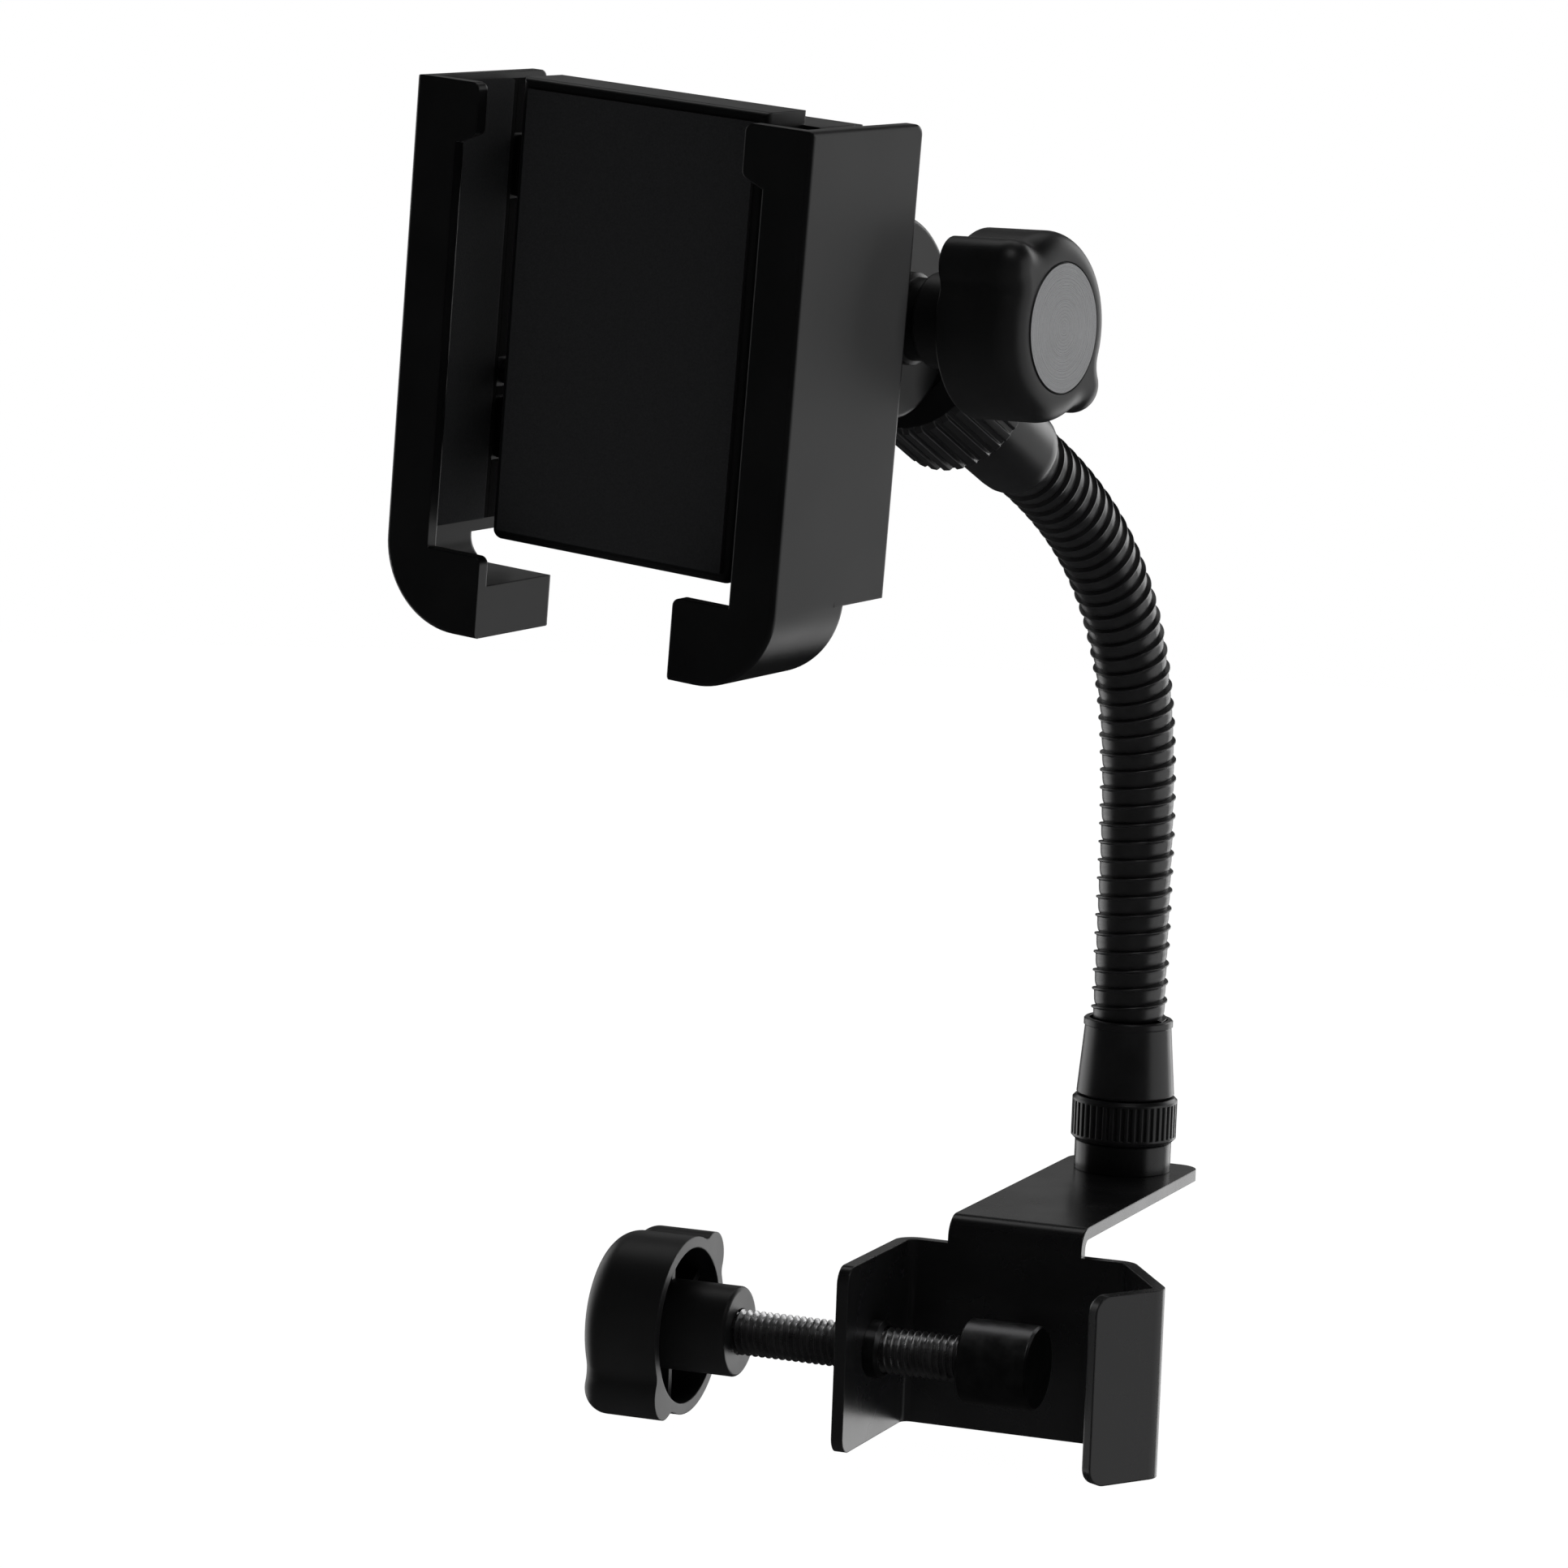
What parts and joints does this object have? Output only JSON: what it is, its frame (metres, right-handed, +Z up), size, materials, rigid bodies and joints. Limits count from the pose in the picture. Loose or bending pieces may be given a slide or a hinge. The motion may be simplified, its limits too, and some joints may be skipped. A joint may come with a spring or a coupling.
{
  "type": "clamp-on phone holder",
  "caption": "Phone holder: screw clamp with a V jaw, upright flexible neck, tilt joint with a lobed knob, and a spring cradle with two L-shaped jaws.",
  "frame": {"origin": "axis of the gripped tube, at the height of the clamp screw", "axes": "+Z up along the gripped tube, +X along the clamp screw towards the V jaw, -Y towards the user"},
  "size_m": [0.1396, 0.2081, 0.2793],
  "materials": {
    "black_coat": "satin black coat on folded steel",
    "black_steel": "black finished steel, slightly oily",
    "gloss_black": "smooth black coat with sharp highlights",
    "black_plastic": "moulded black plastic, fine even grain",
    "grey_foam": "thin dark grey foam sheet",
    "silver": "spun, fine rings",
    "spring_steel": "drawn wire"
  },
  "bodies": {
    "base": {"clamp_bracket": "black_coat", "thread_bush": "black_steel", "base_stub": "black_coat"},
    "pressure_pad": {"clamp_pad": "black_steel"},
    "clamp_screw": {"clamp_screw": "black_steel", "clamp_knob": "black_plastic", "clamp_knob_disc": "silver"},
    "lock_ring": {"lock_ring": "gloss_black"},
    "neck_01": {"neck_01": "gloss_black", "lower_ferrule": "gloss_black"},
    "neck_02": {"neck_02": "gloss_black"},
    "neck_03": {"neck_03": "gloss_black"},
    "neck_04": {"neck_04": "gloss_black"},
    "neck_05": {"neck_05": "gloss_black"},
    "neck_06": {"neck_06": "gloss_black"},
    "neck_07": {"neck_07": "gloss_black"},
    "neck_08": {"neck_08": "gloss_black"},
    "neck_09": {"neck_09": "gloss_black"},
    "neck_10": {"neck_10": "gloss_black"},
    "neck_11": {"neck_11": "gloss_black"},
    "neck_12": {"neck_12": "gloss_black"},
    "neck_13": {"neck_13": "gloss_black"},
    "neck_14": {"neck_14": "gloss_black"},
    "neck_15": {"neck_15": "gloss_black"},
    "neck_16": {"neck_16": "gloss_black"},
    "neck_17": {"neck_17": "gloss_black"},
    "neck_18": {"neck_18": "gloss_black"},
    "neck_19": {"neck_19": "gloss_black", "upper_ferrule": "gloss_black", "tilt_knuckle": "black_plastic"},
    "ribbed_nut": {"ribbed_nut": "gloss_black"},
    "tilt_bracket": {"tilt_bracket": "black_plastic", "tilt_screw": "black_steel", "tilt_spacer": "black_plastic", "swivel_screw": "black_steel"},
    "tilt_knob": {"tilt_knob": "black_plastic", "tilt_knob_disc": "silver"},
    "cradle": {"cradle_body": "black_plastic", "cradle_cover": "black_plastic", "cover_screws": "black_steel", "cradle_pad": "grey_foam", "left_spring": "spring_steel", "right_spring": "spring_steel"},
    "left_jaw": {"left_jaw": "black_plastic", "left_liner": "grey_foam"},
    "right_jaw": {"right_jaw": "black_plastic", "right_liner": "grey_foam"}
  },
  "joints": [
    {"name": "pad_travel", "type": "slide", "parent": "base", "child": "pressure_pad", "axis": [1, 0, 0], "range_m": [-0.015, 0.0165]},
    {"name": "screw_turn", "type": "hinge", "parent": "pressure_pad", "child": "clamp_screw", "pos_m": [0, 0, 0], "axis": [1, 0, 0], "range_deg": [-3605, 3965]},
    {"name": "lock_ring_turn", "type": "hinge", "parent": "base", "child": "lock_ring", "pos_m": [-0.0241, 0.0907, 0.05495], "axis": [0, 0, 1], "range_deg": [-90, 90]},
    {"name": "neck_swivel", "type": "hinge", "parent": "base", "child": "neck_01", "pos_m": [-0.0241, 0.0907, 0.05495], "axis": [0, 0, 1], "range_deg": [-170, 170]},
    {"name": "neck_flex_02", "type": "hinge", "parent": "neck_01", "child": "neck_02", "pos_m": [-0.0241, 0.0907, 0.06305], "axis": [0.9796, -0.2011, 0], "range_deg": [-2.5, 2.5]},
    {"name": "neck_flex_03", "type": "hinge", "parent": "neck_02", "child": "neck_03", "pos_m": [-0.0241, 0.0907, 0.07115], "axis": [0.9796, -0.2011, 0], "range_deg": [-2.5, 2.5]},
    {"name": "neck_flex_04", "type": "hinge", "parent": "neck_03", "child": "neck_04", "pos_m": [-0.0241, 0.0907, 0.07925], "axis": [0.9796, -0.2011, 0], "range_deg": [-2.5, 2.5]},
    {"name": "neck_flex_05", "type": "hinge", "parent": "neck_04", "child": "neck_05", "pos_m": [-0.0241, 0.0907, 0.08735], "axis": [0.9796, -0.2011, 0], "range_deg": [-2.5, 2.5]},
    {"name": "neck_flex_06", "type": "hinge", "parent": "neck_05", "child": "neck_06", "pos_m": [-0.0241, 0.0907, 0.09545], "axis": [0.9796, -0.2011, 0], "range_deg": [-2.5, 2.5]},
    {"name": "neck_flex_07", "type": "hinge", "parent": "neck_06", "child": "neck_07", "pos_m": [-0.02413, 0.09056, 0.10355], "axis": [0.9796, -0.2011, 0], "range_deg": [-2.5, 2.5]},
    {"name": "neck_flex_08", "type": "hinge", "parent": "neck_07", "child": "neck_08", "pos_m": [-0.02421, 0.09015, 0.11164], "axis": [0.9796, -0.2011, 0], "range_deg": [-2.5, 2.5]},
    {"name": "neck_flex_09", "type": "hinge", "parent": "neck_08", "child": "neck_09", "pos_m": [-0.02439, 0.08929, 0.11969], "axis": [0.9796, -0.2011, 0], "range_deg": [-2.5, 2.5]},
    {"name": "neck_flex_10", "type": "hinge", "parent": "neck_09", "child": "neck_10", "pos_m": [-0.0247, 0.0878, 0.12765], "axis": [0.9796, -0.2011, 0], "range_deg": [-2.5, 2.5]},
    {"name": "neck_flex_11", "type": "hinge", "parent": "neck_10", "child": "neck_11", "pos_m": [-0.02516, 0.08555, 0.13541], "axis": [0.9796, -0.2011, 0], "range_deg": [-2.5, 2.5]},
    {"name": "neck_flex_12", "type": "hinge", "parent": "neck_11", "child": "neck_12", "pos_m": [-0.02579, 0.08245, 0.14287], "axis": [0.9796, -0.2011, 0], "range_deg": [-2.5, 2.5]},
    {"name": "neck_flex_13", "type": "hinge", "parent": "neck_12", "child": "neck_13", "pos_m": [-0.0266, 0.07853, 0.14991], "axis": [0.9796, -0.2011, 0], "range_deg": [-2.5, 2.5]},
    {"name": "neck_flex_14", "type": "hinge", "parent": "neck_13", "child": "neck_14", "pos_m": [-0.02756, 0.07383, 0.15644], "axis": [0.9796, -0.2011, 0], "range_deg": [-2.5, 2.5]},
    {"name": "neck_flex_15", "type": "hinge", "parent": "neck_14", "child": "neck_15", "pos_m": [-0.02867, 0.06844, 0.16238], "axis": [0.9796, -0.2011, 0], "range_deg": [-2.5, 2.5]},
    {"name": "neck_flex_16", "type": "hinge", "parent": "neck_15", "child": "neck_16", "pos_m": [-0.0299, 0.06247, 0.16772], "axis": [0.9796, -0.2011, 0], "range_deg": [-2.5, 2.5]},
    {"name": "neck_flex_17", "type": "hinge", "parent": "neck_16", "child": "neck_17", "pos_m": [-0.03122, 0.05604, 0.17246], "axis": [0.9796, -0.2011, 0], "range_deg": [-2.5, 2.5]},
    {"name": "neck_flex_18", "type": "hinge", "parent": "neck_17", "child": "neck_18", "pos_m": [-0.0326, 0.04928, 0.1767], "axis": [0.9796, -0.2011, 0], "range_deg": [-2.5, 2.5]},
    {"name": "neck_flex_19", "type": "hinge", "parent": "neck_18", "child": "neck_19", "pos_m": [-0.03404, 0.04229, 0.18053], "axis": [0.9796, -0.2011, 0], "range_deg": [-2.5, 2.5]},
    {"name": "nut_turn", "type": "hinge", "parent": "neck_19", "child": "ribbed_nut", "pos_m": [-0.0413, 0.00689, 0.19792], "axis": [-0.1812, -0.8827, 0.4337], "range_deg": [-90, 90]},
    {"name": "cradle_tilt", "type": "hinge", "parent": "neck_19", "child": "tilt_bracket", "pos_m": [-0.0479, -0.02524, 0.2137], "axis": [0.9796, -0.2011, 0], "range_deg": [-60, 60]},
    {"name": "tilt_knob_turn", "type": "hinge", "parent": "tilt_bracket", "child": "tilt_knob", "pos_m": [-0.0479, -0.02524, 0.2137], "axis": [0.9796, -0.2011, 0], "range_deg": [-180, 180]},
    {"name": "cradle_swivel", "type": "hinge", "parent": "tilt_bracket", "child": "cradle", "pos_m": [-0.06905, -0.05617, 0.21189], "axis": [0.2008, 0.9782, 0.0523], "continuous": true},
    {"name": "left_jaw_slide", "type": "slide", "parent": "cradle", "child": "left_jaw", "axis": [-0.9768, 0.1958, 0.087], "range_m": [0, 0.012], "stiffness_N_per_m": 400, "springref_m": -0.01, "deforming": ["left_spring"]},
    {"name": "right_jaw_slide", "type": "slide", "parent": "cradle", "child": "right_jaw", "axis": [0.9768, -0.1958, -0.087], "range_m": [0, 0.012], "stiffness_N_per_m": 400, "springref_m": -0.01, "deforming": ["right_spring"]}
  ],
  "couplings": [
    {"joint": "screw_turn", "follows": "pad_travel", "rad_per_m": 4188.8},
    {"joint": "neck_flex_03", "follows": "neck_flex_02", "ratio": 1},
    {"joint": "neck_flex_04", "follows": "neck_flex_02", "ratio": 1},
    {"joint": "neck_flex_05", "follows": "neck_flex_02", "ratio": 1},
    {"joint": "neck_flex_06", "follows": "neck_flex_02", "ratio": 1},
    {"joint": "neck_flex_07", "follows": "neck_flex_02", "ratio": 1},
    {"joint": "neck_flex_08", "follows": "neck_flex_02", "ratio": 1},
    {"joint": "neck_flex_09", "follows": "neck_flex_02", "ratio": 1},
    {"joint": "neck_flex_10", "follows": "neck_flex_02", "ratio": 1},
    {"joint": "neck_flex_11", "follows": "neck_flex_02", "ratio": 1},
    {"joint": "neck_flex_12", "follows": "neck_flex_02", "ratio": 1},
    {"joint": "neck_flex_13", "follows": "neck_flex_02", "ratio": 1},
    {"joint": "neck_flex_14", "follows": "neck_flex_02", "ratio": 1},
    {"joint": "neck_flex_15", "follows": "neck_flex_02", "ratio": 1},
    {"joint": "neck_flex_16", "follows": "neck_flex_02", "ratio": 1},
    {"joint": "neck_flex_17", "follows": "neck_flex_02", "ratio": 1},
    {"joint": "neck_flex_18", "follows": "neck_flex_02", "ratio": 1},
    {"joint": "neck_flex_19", "follows": "neck_flex_02", "ratio": 1}
  ]
}
